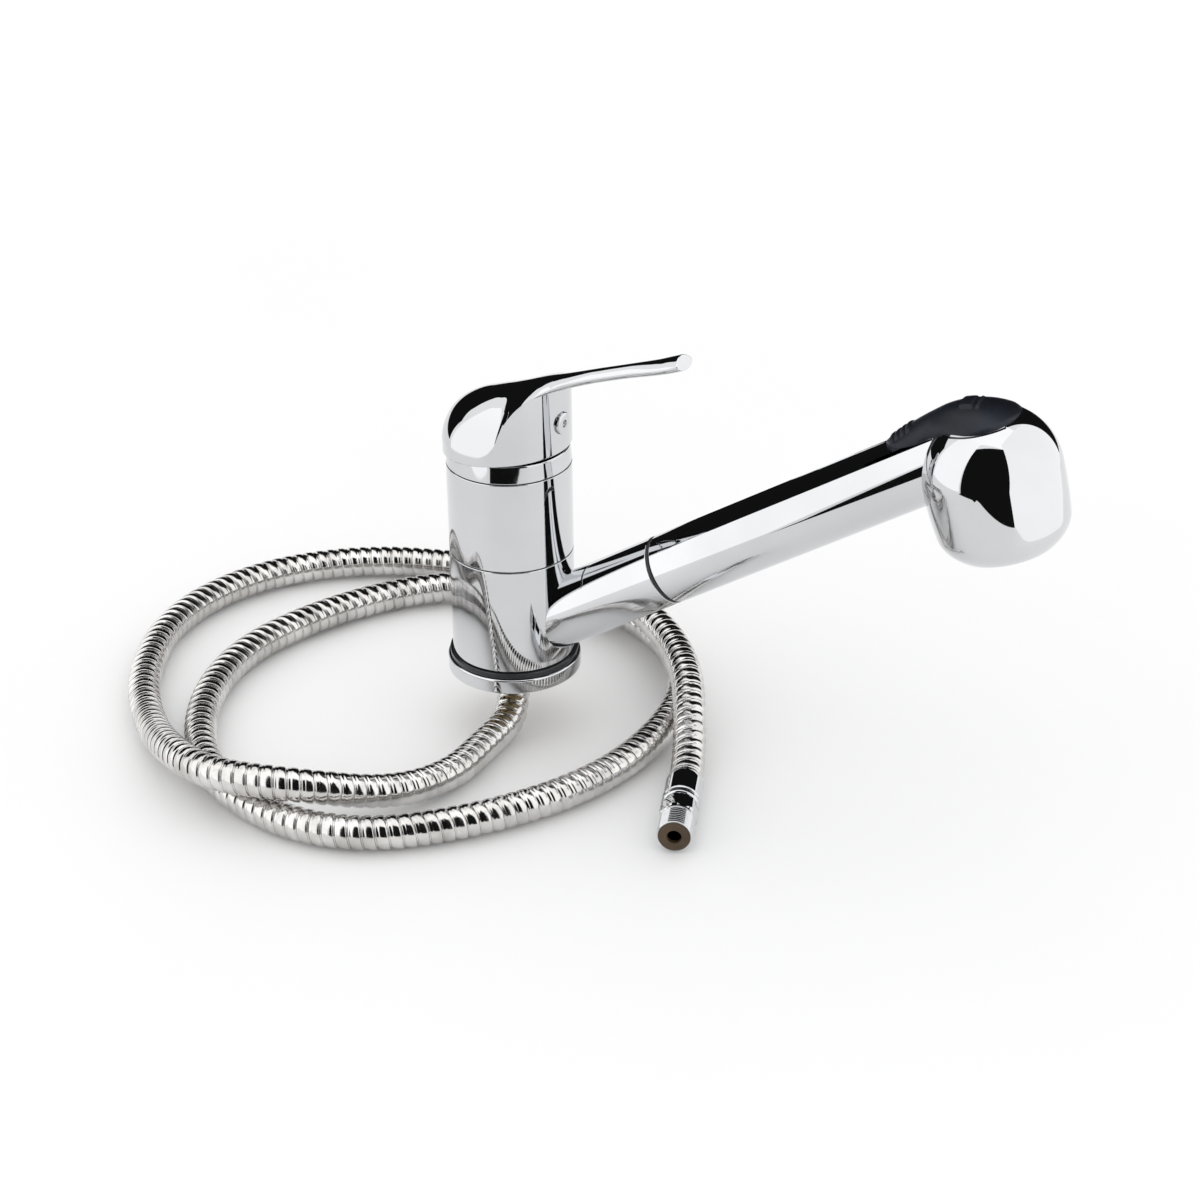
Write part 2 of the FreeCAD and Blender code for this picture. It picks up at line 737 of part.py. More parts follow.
def button_pad():
    """Soft button: its hump fills the hollow between tube and crown, its rim fits the opening."""
    rounds = []
    for along, top, radius in BUTTON_HUMP:
        centre = Vector(radius - top, 0, along)
        rounds.append(Part.Wire([Part.Circle(centre, Vector(0, 0, 1), radius).toShape()]))
    hump = fixed_shape("PadHump", Part.makeLoft(rounds, True, False), SPOUT)
    leaf = fixed_shape("PadLeaf", button_prism(0), SPOUT)
    return cut("Pad", common("PadOutline", hump, leaf), handset_form("PadInner", "-button_depth", 150))


JET_RINGS = ((12.0, 18), (15.2, 24))


def spray_face():
    """Face plate with a ring of jets round the middle opening."""
    plate = cylinder("FacePlate", "face_radius", 3, HEAD, at=(0, 0, -dim("head_drop")))
    holes = [cylinder("FaceMiddle", 9.6, 10, HEAD, at=(0, 0, -dim("head_drop") - 3))]
    for ring_radius, count in JET_RINGS:
        for i in range(count):
            x, y = on_circle(ring_radius, 360.0 * i / count)
            name = "Jet%d_%d" % (count, i)
            holes.append(cylinder(name, 0.85, 10, HEAD, at=(x, y, -dim("head_drop") - 3)))
    return cut("Face", plate, *holes)


def nozzle_ring():
    """Soft ring behind the face plate, with a nozzle through each jet hole."""
    back = ring("NozzleBack", 10.5, 17.0, 0, 1.4, HEAD * moved(0, 0, -dim("head_drop") + 3))
    pieces = [back]
    for ring_radius, count in JET_RINGS:
        for i in range(count):
            x, y = on_circle(ring_radius, 360.0 * i / count)
            name = "Nozzle%d_%d" % (count, i)
            pieces.append(cylinder(name, 0.8, 4.4, HEAD, at=(x, y, -dim("head_drop") - 0.6)))
    return fuse("Nozzles", *pieces)


def aerator():
    return ring("Aerator", 6.6, 9.4, 0, 9.0, HEAD * moved(0, 0, -dim("head_drop") - 0.4))


def aerator_screen():
    """Perforated disc in the aerator."""
    at_height = -dim("head_drop") + 1.5
    disc = cylinder("ScreenDisc", 6.5, 1.0, HEAD, at=(0, 0, at_height))
    holes = [cylinder("ScreenHole0", 0.8, 3, HEAD, at=(0, 0, at_height - 1))]
    for ring_radius, count in ((2.6, 6), (4.9, 12)):
        for i in range(count):
            x, y = on_circle(ring_radius, 360.0 * i / count)
            holes.append(cylinder("ScreenHole%d_%d" % (count, i), 0.8, 3, HEAD, at=(x, y, at_height - 1)))
    return cut("Screen", disc, *holes)


node("handset_shell", handset_shell())
node("hose_connector", hose_connector())
node("hose_washer", ring("HoseWasher", 4.0, 6.5, "shank_start - 1.5", "shank_start", SPOUT))
node("hose_stub", ring("HoseStub", "hose_bore", "hose_radius",
                       "spout_height - hose_join_height + 0.4", "shank_start - 1.5", SPOUT))
node("check_valve", ring("CheckValve", 2.2, 4.95, 66, 80, SPOUT))
node("waterway_tube", ring("WaterwayTube", 4.8, 6.5, 96, 203, SPOUT))
node("diverter_body", diverter_body())
node("diverter_spool", spool())
node("rocker_frame", rocker_frame())
node("rocker_pin", cylinder("RockerPin", 1.2, 14, SPOUT, at=(PIVOT[0], -7, PIVOT[2]), turn=ALONG_Y))
node("button_pad", button_pad())
node("spray_face", spray_face())
node("nozzle_ring", nozzle_ring())
node("aerator", aerator())
node("aerator_screen", aerator_screen())


# ---------------------------------------------------------------- free hose

# The hose leaves the foot, bends forward and lies in two wide loops on the surface below.
# LAY is the middle of the hose where it lies; OVER is where it crosses a lower turn.
LAY = -19.3
OVER = LAY + 14.4
TAIL = -19.0
HOSE_ROUTE = [
    (0, 0, 3),
    (0, 0, -5.2),
    (1, -4, -13.3),
    (4, -15, LAY),
    (3, -32, LAY),
    (1, -63, LAY),
    (-14, -89, -15.8),
    (-40, -112, OVER),
    (-74, -118, OVER),
    (-100, -104, -9.3),
    (-130, -76, -18.8),
    (-156, -41, LAY),
    (-171, 8, LAY),
    (-158, 56, LAY),
    (-120, 91, LAY),
    (-66, 104, LAY),
    (-9, 99, LAY),
    (40, 73, LAY),
    (66, 29, LAY),
    (61, -36, LAY),
    (28, -86, LAY),
    (-20, -121, LAY),
    (-79, -108, LAY),
    (-115, -66, LAY),
    (-129, -12, LAY),
    (-111, 40, LAY),
    (-77, 81, LAY),
    (-29, 89, -15.3),
    (14, 80, OVER),
    (46, 54, OVER),
    (66, 26, OVER),
    (77, 1, -10.8),
    (84, -17, TAIL),
    (88, -31, TAIL),
]
TIGHTNESS = 0.45


def hose_path(route):
    """Straight runs joined by tangent arcs, each arc as large as its two runs allow."""
    points = [Vector(*p) for p in route]
    edges = []
    start = points[0]
    radii = []
    for before, corner, after in zip(points, points[1:], points[2:]):
        back = before - corner
        onward = after - corner
        shorter = min(back.Length, onward.Length)
        reach = TIGHTNESS * shorter
        half_turn = (math.pi - back.getAngle(onward)) / 2
        radii.append(reach / math.tan(half_turn))
        back.normalize()
        onward.normalize()
        enter = corner + back * reach
        leave = corner + onward * reach
        inward = (back + onward).normalize()
        middle = corner + inward * (radii[-1] / math.cos(half_turn) - radii[-1])
        if (enter - start).Length > 1e-6:
            edges.append(Part.LineSegment(start, enter).toShape())
        edges.append(Part.Arc(enter, middle, leave).toShape())
        start = leave
    edges.append(Part.LineSegment(start, points[-1]).toShape())
    print("hose arc radii:", " ".join("%.0f" % r for r in radii))
    return Part.Wire(edges)


path = hose_path(HOSE_ROUTE)
hose = node("hose_free", fixed_shape("HoseFree", tube_along(path, Vector(0, 0, 1))))
wall_area = math.pi * (dim("hose_radius") ** 2 - dim("hose_bore") ** 2)
print("hose length %.1f, volume over section times length %.4f"
      % (path.Length, hose.Shape.Volume / (wall_area * path.Length)))

last = Vector(*HOSE_ROUTE[-1])
heading = (last - Vector(*HOSE_ROUTE[-2]))
heading.z = 0
FITTING = Placement(last, Rotation(Vector(0, 0, 1), heading))


def hose_ferrule():
    return turned("Ferrule", [
        ("hose_bore", 0),
        ("hose_radius", 0),
        ("ferrule_radius", 2.6),
        ("ferrule_radius", 18.6),
        ("ferrule_radius - 0.6", 19.2),
        ("hose_bore", 19.2),
    ], FITTING)


def hose_tail():
    """Tail with a hexagon for the spanner, a groove and the thread."""
    barrel = turned("TailBarrel", [
        ("hose_bore", 19.2),
        (6.3, 19.2),
        ("hexagon_radius - 0.3", 20.4),
        ("hexagon_radius - 0.3", 27),
        (6.2, 27.8),
        (6.2, 28.4),
        ("thread_radius", 29),
        ("thread_radius", 39),
        ("thread_radius - 0.5", 39.8),
        (6.25, 39.8),
        (6.25, 38),
        ("hose_bore", 38),
    ], FITTING)
    hexagon = doc.addObject("Part::Prism", "TailHexagon")
    hexagon.Polygon = 6
    hexagon.setExpression("Circumradius", formula("hexagon_radius + 0.2"))
    hexagon.Height = 9
    hexagon.Placement = FITTING * moved(0, 0, 19)
    rest = cylinder("TailRest", 10, 14, FITTING, at=(0, 0, 28))
    return common("Tail", barrel, fuse("TailOutline", hexagon, rest))


node("hose_ferrule", hose_ferrule())
node("hose_tail", hose_tail())
node("hose_end_seal", ring("HoseEndSeal", 2.8, 6.15, 38, 40.6, FITTING))


# ---------------------------------------------------------------- check and write

doc.removeObject("Probe")
doc.recompute()
broken = [o.Name for o in doc.Objects if "Invalid" in o.State or "Error" in o.State]
for label, piece in nodes.items():
    if piece.Shape.isNull() or not piece.Shape.isValid() or piece.Shape.Volume <= 0:
        broken.append(label)
if broken:
    raise SystemExit("failed: " + ", ".join(broken))
os.makedirs("parts", exist_ok=True)
for label, piece in nodes.items():
    piece.Shape.exportStep("parts/%s.step" % label)
print(len(nodes), "parts written")
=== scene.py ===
"""Pull-out bath sprayer on a swivelling mixer body, with its free hose lying on a pale surface.

Lengths are in millimetres, in the frame that a piece is placed by, and are scaled to metres when a
mesh is made. HOSE_ROUTE, HOSE_LENGTH, the camera, the ground's size and the studio cards are in metres.
"""
import json
import math

import bpy
import numpy as np
from mathutils import Matrix, Vector
from mathutils.bvhtree import BVHTree
from mathutils.interpolate import poly_3d_calc


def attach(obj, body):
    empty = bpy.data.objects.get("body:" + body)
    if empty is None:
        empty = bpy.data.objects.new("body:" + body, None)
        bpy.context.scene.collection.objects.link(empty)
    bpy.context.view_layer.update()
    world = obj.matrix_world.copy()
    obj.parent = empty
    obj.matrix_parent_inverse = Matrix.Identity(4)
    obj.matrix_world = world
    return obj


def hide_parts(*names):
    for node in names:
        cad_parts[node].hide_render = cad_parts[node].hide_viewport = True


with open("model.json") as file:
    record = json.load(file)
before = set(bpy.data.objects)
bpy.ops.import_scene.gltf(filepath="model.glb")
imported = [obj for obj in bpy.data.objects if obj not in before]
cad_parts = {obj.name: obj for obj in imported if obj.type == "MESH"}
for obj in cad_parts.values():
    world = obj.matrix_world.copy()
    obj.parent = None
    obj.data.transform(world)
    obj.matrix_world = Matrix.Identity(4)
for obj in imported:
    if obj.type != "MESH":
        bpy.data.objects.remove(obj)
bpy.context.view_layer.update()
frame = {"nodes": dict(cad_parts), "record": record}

MM = 0.001
FLOOR = -26.6

# ---------------------------------------------------------------- frames

SPOUT_ANGLE = 31.7
WORLD = Matrix.Identity(4)
SPOUT = Matrix.Translation((0, 0, 14.3)) @ Matrix.Rotation(math.radians(90 - SPOUT_ANGLE), 4, "Y")
LEVER = Matrix.Rotation(math.radians(-8.0), 4, "Z")
HEAD = Matrix.Translation((194.9, 0, 121.6)) @ Matrix.Rotation(math.radians(-15.7), 4, "Y")

BODY_RADIUS = 25.0
SEAM = 53.5
SLEEVE_TOP = 91.7
TUBE_RADIUS = 14.0
SPOUT_END = 79.2
HANDSET_START = 80.9
HEAD_RADIUS = 26.24
HEAD_CROWN = 25.2
HEAD_DROP = 30.3
HUB_RADIUS = 25.2
DOME_RADIUS = 26.1
ROUND = 192


# ---------------------------------------------------------------- camera

CAMERA_PLACE = (0.42109, -0.86128, 0.54062)
CAMERA_TURN = (23.95, 28.15, -0.69)
CAMERA_LENS = 80.34
CAMERA_SENSOR = 36.0


def aim_camera():
    """Camera at the photograph's place, turned by azimuth, elevation and a slight roll."""
    azimuth, elevation, roll = (math.radians(v) for v in CAMERA_TURN)
    back = Vector((math.sin(azimuth) * math.cos(elevation),
                   -math.cos(azimuth) * math.cos(elevation), math.sin(elevation)))
    right = Vector((math.cos(azimuth), math.sin(azimuth), 0))
    up = back.cross(right)
    across = right * math.cos(roll) + up * math.sin(roll)
    upward = up * math.cos(roll) - right * math.sin(roll)
    data = bpy.data.cameras.new("camera")
    data.lens = CAMERA_LENS
    data.sensor_width = CAMERA_SENSOR
    data.clip_start = 0.01
    camera = bpy.data.objects.new("camera", data)
    turn = Matrix((across, upward, back)).transposed().to_4x4()
    camera.matrix_world = Matrix.Translation(CAMERA_PLACE) @ turn
    bpy.context.collection.objects.link(camera)
    bpy.context.scene.camera = camera


aim_camera()


# ---------------------------------------------------------------- materials

class Shader:
    """A node material that is built with a few calls."""

    def __init__(self, name, colour, rough, metal=0.0):
        self.material = bpy.data.materials.new(name)
        self.material.use_nodes = True
        self.nodes = self.material.node_tree.nodes
        self.links = self.material.node_tree.links
        self.main = self.nodes["Principled BSDF"]
        self.main.inputs["Metallic"].default_value = metal
        self.main.inputs["Base Color"].default_value = (*colour, 1)
        self.main.inputs["Roughness"].default_value = rough
        self.place = self.nodes.new("ShaderNodeTexCoord").outputs["Object"]

    def noise(self, scale, detail=3.0, stretch=None):
        place = self.place
        if stretch:
            mapping = self.nodes.new("ShaderNodeMapping")
            mapping.inputs["Scale"].default_value = stretch
            self.links.new(place, mapping.inputs["Vector"])
            place = mapping.outputs["Vector"]
        texture = self.nodes.new("ShaderNodeTexNoise")
        texture.inputs["Scale"].default_value = scale
        texture.inputs["Detail"].default_value = detail
        self.links.new(place, texture.inputs["Vector"])
        return texture.outputs["Fac"]

    def spread(self, value, low, high, start=0.3, stop=0.7):
        """Maps a value's start to stop onto low to high."""
        node = self.nodes.new("ShaderNodeMapRange")
        for name, number in (("From Min", start), ("From Max", stop), ("To Min", low), ("To Max", high)):
            node.inputs[name].default_value = number
        self.links.new(value, node.inputs["Value"])
        return node.outputs["Result"]

    def colours(self, value, stops):
        node = self.nodes.new("ShaderNodeValToRGB")
        ramp = node.color_ramp
        while len(ramp.elements) < len(stops):
            ramp.elements.new(0.5)
        for element, (place, colour) in zip(ramp.elements, stops):
            element.position = place
            element.color = (*colour, 1)
        self.links.new(value, node.inputs["Fac"])
        self.links.new(node.outputs["Color"], self.main.inputs["Base Color"])

    def rough(self, value):
        self.links.new(value, self.main.inputs["Roughness"])

    def bump(self, value, height, strength=1.0):
        node = self.nodes.new("ShaderNodeBump")
        node.inputs["Strength"].default_value = strength
        node.inputs["Distance"].default_value = height
        self.links.new(value, node.inputs["Height"])
        self.links.new(node.outputs["Normal"], self.main.inputs["Normal"])


def metal(name, dark, light, rough_low, rough_high, scale, wave=0.0, stretch=None):
    """Metal with cloudy colour, smudged gloss and an optional slow wave in its surface."""
    made = Shader(name, light, rough_low, metal=1.0)
    cloud = made.noise(scale, 4.0, stretch)
    made.colours(cloud, [(0.35, dark), (0.62, light)])
    made.rough(made.spread(made.noise(scale * 2.6, 5.0, stretch), rough_low, rough_high))
    if wave:
        made.bump(made.noise(scale * 0.8, 2.0, stretch), wave)
    return made.material


def moulded(name, dark, light, rough_low, rough_high, grain, grain_height, specular=0.5):
    """Plastic, rubber or ceramic with a fine grain."""
    made = Shader(name, light, rough_low)
    made.main.inputs["Specular IOR Level"].default_value = specular
    made.colours(made.noise(60.0, 4.0), [(0.3, dark), (0.7, light)])
    made.rough(made.spread(made.noise(grain * 0.4, 3.0), rough_low, rough_high))
    made.bump(made.noise(grain, 2.0), grain_height)
    return made.material


MATERIALS = {
    "chrome": metal("chrome", (0.60, 0.61, 0.625), (0.67, 0.68, 0.695),
                    0.015, 0.045, 14.0, wave=0.00002),
    "hose_steel": metal("hose_steel", (0.56, 0.545, 0.53), (0.74, 0.725, 0.71),
                        0.08, 0.2, 90.0, wave=0.00003),
    "steel": metal("steel", (0.50, 0.50, 0.50), (0.66, 0.66, 0.66),
                   0.16, 0.32, 120.0, wave=0.00002),
    "brass": metal("brass", (0.20, 0.15, 0.08), (0.42, 0.33, 0.19), 0.28, 0.45, 80.0, wave=0.00004),
    "black_nylon": moulded("black_nylon", (0.010, 0.011, 0.013), (0.022, 0.024, 0.028),
                           0.12, 0.22, 1800, 0.00001),
    "black_face": moulded("black_face", (0.012, 0.013, 0.015), (0.026, 0.028, 0.032),
                          0.34, 0.5, 2200, 0.00003),
    "white_acetal": moulded("white_acetal", (0.74, 0.74, 0.71), (0.84, 0.84, 0.81),
                            0.35, 0.5, 1500, 0.00003),
    "grey_plastic": moulded("grey_plastic", (0.36, 0.38, 0.40), (0.46, 0.48, 0.50),
                            0.35, 0.5, 1500, 0.00003),
    "soft_black": moulded("soft_black", (0.004, 0.006, 0.011), (0.009, 0.014, 0.027),
                          0.34, 0.46, 3000, 0.00002, 0.3),
    "black_rubber": moulded("black_rubber", (0.010, 0.010, 0.010), (0.022, 0.022, 0.022),
                            0.42, 0.6, 1600, 0.00004),
    "brown_rubber": moulded("brown_rubber", (0.050, 0.028, 0.011), (0.100, 0.060, 0.026),
                            0.5, 0.7, 1200, 0.00006),
    "grey_silicone": moulded("grey_silicone", (0.20, 0.21, 0.22), (0.30, 0.31, 0.32),
                             0.4, 0.55, 1500, 0.00003),
    "ceramic": moulded("ceramic", (0.80, 0.79, 0.76), (0.90, 0.89, 0.87),
                       0.12, 0.22, 2500, 0.00001),
}
SLOT_OF = {row["node"]: row["material_slot"] for row in frame["record"]["subparts"]}
for node_name, shown in frame["nodes"].items():
    shown.data.materials.clear()
    shown.data.materials.append(MATERIALS[SLOT_OF[node_name]])


# ---------------------------------------------------------------- surfaces

class Surface:
    """Points in millimetres in the world's frame, faces, and the smooth normal at each point."""

    def __init__(self, points, faces, normals=None, flat=False):
        self.points = np.asarray(points, float)
        self.faces = faces if self.volume_of(faces) > 0 else [face[::-1] for face in faces]
        self.normals = normals if normals is not None else self.average_normals()
        self.flat = flat

    def volume_of(self, faces):
        total = 0.0
        for face in faces:
            corners = self.points[face]
            total += np.dot(corners[0], np.cross(corners[1:-1], corners[2:]).sum(0))
        return total

    def average_normals(self):
        total = np.zeros_like(self.points)
        for face in self.faces:
            corners = self.points[face]
            around = np.roll(corners, -1, axis=0)
            total[face] += np.cross(corners - corners.mean(0), around - corners.mean(0)).sum(0)
        return total / np.maximum(np.linalg.norm(total, axis=1, keepdims=True), 1e-12)

    def mesh(self, name):
        data = bpy.data.meshes.new(name)
        data.from_pydata((self.points * MM).tolist(), [], [list(f) for f in self.faces])
        data.shade_smooth()
        if not self.flat:
            data.normals_split_custom_set_from_vertices([tuple(n) for n in self.normals])
        return data


def placed(points, place):
    """Points carried from a frame to the world."""
    matrix = np.array(place)
    return np.asarray(points, float) @ matrix[:3, :3].T + matrix[:3, 3]


def lattice(rows, close_rows=False, caps=True, flat=False):
    """A Surface through rows of points: each row is a closed loop, and end loops are capped."""
    rows = np.asarray(rows, float)
    count, around = rows.shape[:2]
    index = np.arange(count * around).reshape(count, around)
    faces = []
    for i in range(count if close_rows else count - 1):
        low, high = index[i], index[(i + 1) % count]
        for j in range(around):
            k = (j + 1) % around
            faces.append([low[j], low[k], high[k], high[j]])
    if caps and not close_rows:
        faces.append(list(index[0][::-1]))
        faces.append(list(index[-1]))
    return tidy_surface(rows.reshape(-1, 3), faces, flat=flat)


def tidy_surface(points, faces, normals=None, flat=False):
    """Merges points that coincide and drops faces that this collapses."""
    keys = np.round(points, 5)
    _, first, same = np.unique(keys, axis=0, return_index=True, return_inverse=True)
    same = same.reshape(-1)
    kept = []
    for face in faces:
        merged = [same[v] for v in face]
        merged = [v for n, v in enumerate(merged) if v != merged[n - 1]]
        if len(set(merged)) > 2:
            kept.append(merged)
    return Surface(points[first], kept, None if normals is None else normals[first], flat)


def outline(corners, fillet=0.15):
    """A closed outline with every corner rounded: (radius, height, normal radius, normal height) rows."""
    rows = []
    count = len(corners)
    for i, corner in enumerate(corners):
        here = np.array(corner[:2], float)
        size = corner[2] if len(corner) > 2 else fillet
        before = np.array(corners[i - 1][:2], float) - here
        after = np.array(corners[(i + 1) % count][:2], float) - here
        reach = min(size, 0.45 * np.linalg.norm(before), 0.45 * np.linalg.norm(after))
        before /= np.linalg.norm(before)
        after /= np.linalg.norm(after)
        for step in range(6):
            t = step / 5
            point = here + reach * ((1 - t) ** 2 * before + t ** 2 * after)
            tangent = -(1 - t) * before + t * after
            normal = np.array([tangent[1], -tangent[0]])
            rows.append((*point, *(normal / np.linalg.norm(normal))))
    return rows


def revolve(rows, place=WORLD, steps=ROUND, closed=True):
    """A Surface of revolution of an outline, with exact normals. An open outline ends on the axis."""
    rows = np.asarray(rows, float)
    angles = np.linspace(0, 2 * math.pi, steps, endpoint=False)
    cos, sin = np.cos(angles)[:, None], np.sin(angles)[:, None]
    level = np.ones_like(cos)
    points = np.stack([cos * rows[:, 0], sin * rows[:, 0], level * rows[:, 1]], axis=2)
    normals = np.stack([cos * rows[:, 2], sin * rows[:, 2], level * rows[:, 3]], axis=2)
    index = np.arange(steps * len(rows)).reshape(steps, len(rows))
    faces = []
    for i in range(steps):
        one, two = index[i], index[(i + 1) % steps]
        for j in range(len(rows) if closed else len(rows) - 1):
            k = (j + 1) % len(rows)
            faces.append([one[j], two[j], two[k], one[k]])
    matrix = np.array(place)[:3, :3]
    return tidy_surface(placed(points.reshape(-1, 3), place), faces, normals.reshape(-1, 3) @ matrix.T)


def solid_of_revolution(corners, place=WORLD, fillet=0.15, steps=ROUND):
    """As revolve, for an outline whose first and last corners lie on the axis."""
    inner = outline(corners, fillet)[6:-6]
    down = -1.0 if corners[0][1] < corners[-1][1] else 1.0
    rows = [(0, corners[0][1], 0, down)] + inner + [(0, corners[-1][1], 0, -down)]
    return revolve(rows, place, steps, closed=False)


def rod(radius, low, high, place=WORLD, steps=ROUND):
    """A plain round bar, mostly used to cut a bore."""
    return solid_of_revolution([(0, low), (radius, low), (radius, high), (0, high)], place, 0.01, steps)


def show(name, surface, body, slot, *replaced, material=None):
    """Makes a visible piece of a Surface."""
    piece = bpy.data.objects.new(name, surface.mesh(name))
    return dress(piece, body, slot, *replaced, material=material)


def dress(piece, body, slot, *replaced, material=None):
    """Gives a piece the material of its slot and its body, and hides the CAD nodes that it stands for."""
    if piece.name not in bpy.context.collection.objects:
        bpy.context.collection.objects.link(piece)
    piece.data.materials.clear()
    piece.data.materials.append(material or MATERIALS[slot])
    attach(piece, body)
    if replaced:
        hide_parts(*replaced)
    return piece


def carve(name, start, steps):
    """A mesh of a Surface with others joined, cut or kept, shaded with the normals of them all."""
    work = bpy.data.objects.new(name, start.mesh(name))
    bpy.context.collection.objects.link(work)
    tools = []
    for kind, surface in steps:
        tool = bpy.data.objects.new(name + "_tool", surface.mesh(name + "_tool"))
        bpy.context.collection.objects.link(tool)
        modifier = work.modifiers.new("join", "BOOLEAN")
        modifier.operation = kind
        modifier.solver = "EXACT"
        modifier.object = tool
        tools.append(tool)
    bpy.context.view_layer.update()
    graph = bpy.context.evaluated_depsgraph_get()
    made = bpy.data.meshes.new_from_object(work.evaluated_get(graph))
    for tool in tools:
        bpy.data.objects.remove(tool)
    work.modifiers.clear()
    work.data = made
    shade_like(made, [start] + [surface for _, surface in steps])
    return work


def search_tree(surface):
    faces = [list(map(int, face)) for face in surface.faces]
    return BVHTree.FromPolygons(surface.points.tolist(), faces)


def shade_like(mesh, surfaces):
    """Gives each corner of a mesh the smooth normal of the surface that its face lies on."""
    trees = [(search_tree(surface), surface) for surface in surfaces]
    mesh.shade_smooth()
    normals = [None] * len(mesh.loops)
    for polygon in mesh.polygons:
        middle = Vector(polygon.center) / MM
        best = None
        for tree, surface in trees:
            _, facing, _, distance = tree.find_nearest(middle)
            off = distance + 3.0 * (1 - abs(facing.dot(polygon.normal)))
            if best is None or off < best[0]:
                best = (off, tree, surface, 1.0 if facing.dot(polygon.normal) > 0 else -1.0)
        _, tree, surface, sign = best
        for loop in polygon.loop_indices:
            corner = Vector(mesh.vertices[mesh.loops[loop].vertex_index].co) / MM
            nudged = corner + (middle - corner) * 0.02
            spot, _, face, _ = tree.find_nearest(nudged)
            ring = [int(v) for v in surface.faces[face]]
            weights = poly_3d_calc([Vector(surface.points[v]) for v in ring], spot)
            normal = Vector((0, 0, 0))
            for weight, v in zip(weights, ring):
                normal += Vector(surface.normals[v]) * weight
            normal = normal.normalized() * sign
            smooth_here = not surface.flat and normal.dot(polygon.normal) > 0.3
            normals[loop] = normal if smooth_here else Vector(polygon.normal)
    mesh.normals_split_custom_set([tuple(n) for n in normals])


def smooth(knots):
    """A function through (place, value) knots that doesn't overshoot them."""
    xs = np.array([k[0] for k in knots], float)
    ys = np.array([k[1] for k in knots], float)
    slopes = np.diff(ys) / np.diff(xs)
    tangents = np.zeros_like(ys)
    for i in range(1, len(xs) - 1):
        if slopes[i - 1] * slopes[i] > 0:
            tangents[i] = 2 * slopes[i - 1] * slopes[i] / (slopes[i - 1] + slopes[i])
    tangents[0], tangents[-1] = slopes[0], slopes[-1]

    def at(x):
        x = np.clip(x, xs[0], xs[-1])
        i = np.clip(np.searchsorted(xs, x) - 1, 0, len(xs) - 2)
        width = xs[i + 1] - xs[i]
        t = (x - xs[i]) / width
        return ((2 * t ** 3 - 3 * t ** 2 + 1) * ys[i] + (t ** 3 - 2 * t ** 2 + t) * width * tangents[i]
                + (3 * t ** 2 - 2 * t ** 3) * ys[i + 1] + (t ** 3 - t ** 2) * width * tangents[i + 1])

    return at


# ---------------------------------------------------------------- hose

STRIP_PITCH = 4.85
HOSE_ROUTE = [
    (0, 0, 0.003),
    (0, 0, -0.0052),
    (0.001, -0.004, -0.0133),
    (0.004, -0.015, -0.0193),
    (0.003, -0.032, -0.0193),
    (0.001, -0.063, -0.0193),
    (-0.014, -0.089, -0.0158),
    (-0.040, -0.112, -0.0049),
    (-0.074, -0.118, -0.0049),
    (-0.100, -0.104, -0.0093),
    (-0.130, -0.076, -0.0188),
    (-0.156, -0.041, -0.0193),
    (-0.171, 0.008, -0.0193),
    (-0.158, 0.056, -0.0193),
    (-0.120, 0.091, -0.0193),
    (-0.066, 0.104, -0.0193),
    (-0.009, 0.099, -0.0193),
    (0.040, 0.073, -0.0193),
    (0.066, 0.029, -0.0193),
    (0.061, -0.036, -0.0193),
    (0.028, -0.086, -0.0193),
    (-0.020, -0.121, -0.0193),
    (-0.079, -0.108, -0.0193),
    (-0.115, -0.066, -0.0193),
    (-0.129, -0.012, -0.0193),
    (-0.111, 0.040, -0.0193),
    (-0.077, 0.081, -0.0193),
    (-0.029, 0.089, -0.0153),
    (0.014, 0.080, -0.0049),
    (0.046, 0.054, -0.0049),
    (0.066, 0.026, -0.0049),
    (0.077, 0.001, -0.0108),
    (0.084, -0.017, -0.0185),
    (0.088, -0.031, -0.0190),
]


def hose_line():
    """Points along the smooth line that has the route's points as its control points, in millimetres."""
    data = bpy.data.curves.new("hose_line", "CURVE")
    data.dimensions = "3D"
    spline = data.splines.new("NURBS")
    spline.points.add(len(HOSE_ROUTE) - 1)
    for point, place in zip(spline.points, HOSE_ROUTE):
        point.co = (*place, 1)
    spline.order_u = 3
    spline.use_endpoint_u = True
    data.resolution_u = 24
    carrier = bpy.data.objects.new("hose_line", data)
    sampled = bpy.data.meshes.new_from_object(carrier)
    points = np.array([v.co for v in sampled.vertices]) / MM
    bpy.data.objects.remove(carrier)
    return points


